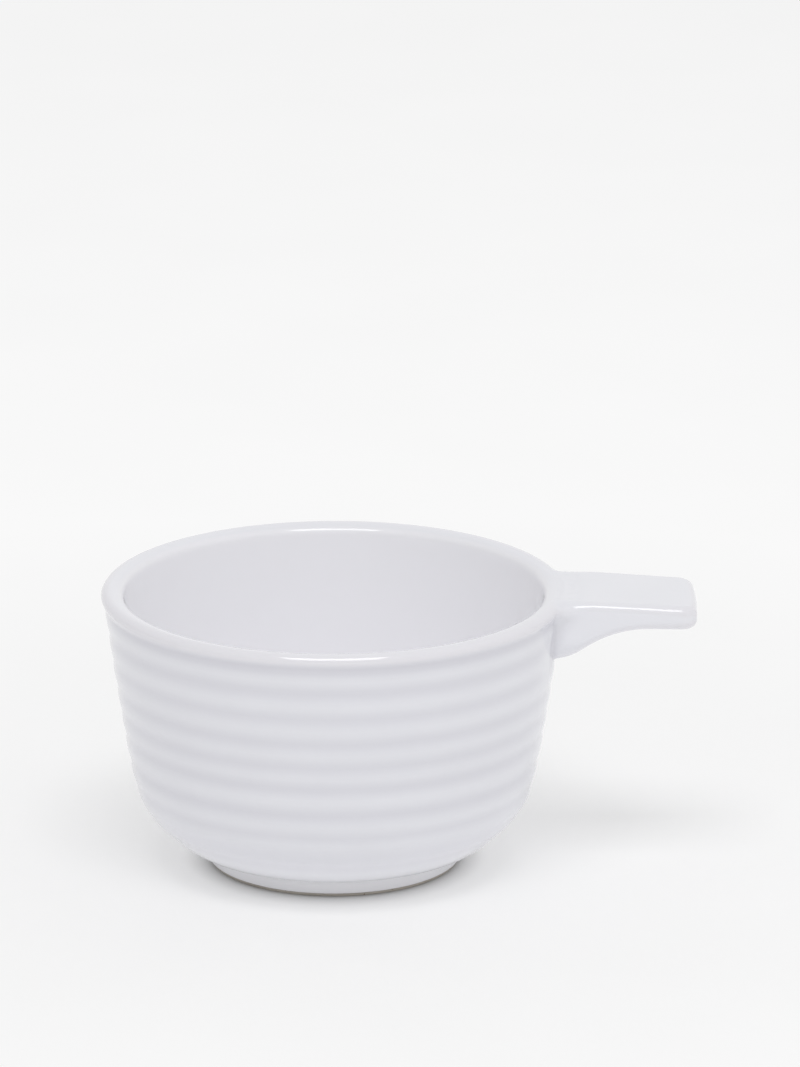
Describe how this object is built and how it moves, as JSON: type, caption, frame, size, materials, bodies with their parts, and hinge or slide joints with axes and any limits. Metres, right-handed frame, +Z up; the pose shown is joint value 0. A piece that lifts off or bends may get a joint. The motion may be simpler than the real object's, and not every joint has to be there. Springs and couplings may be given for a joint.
{
  "type": "shaving mug",
  "caption": "White glazed ceramic shaving mug: a ribbed, rounded bowl on a low foot ring, with a short solid stub handle level with its rim.",
  "frame": {"origin": "on the bowl's axis, at the height of the table that the foot ring stands on", "axes": "+Z up along the bowl's axis, +X out along the stub handle, +Y to the left of someone who looks out along the handle"},
  "size_m": [0.1406, 0.11, 0.0673],
  "materials": {
    "clay": "matt fired stoneware, bare only along the foot's bearing edge",
    "slip": "matt fired slip",
    "glaze": "glossy opaque white glaze"
  },
  "bodies": {
    "root": {"bowl_body": "clay", "foot_ring": "clay", "handle": "clay", "handle_slip_seam": "slip", "outer_glaze": "glaze", "handle_glaze": "glaze", "inner_glaze": "glaze", "base_glaze": "glaze"}
  },
  "joints": []
}
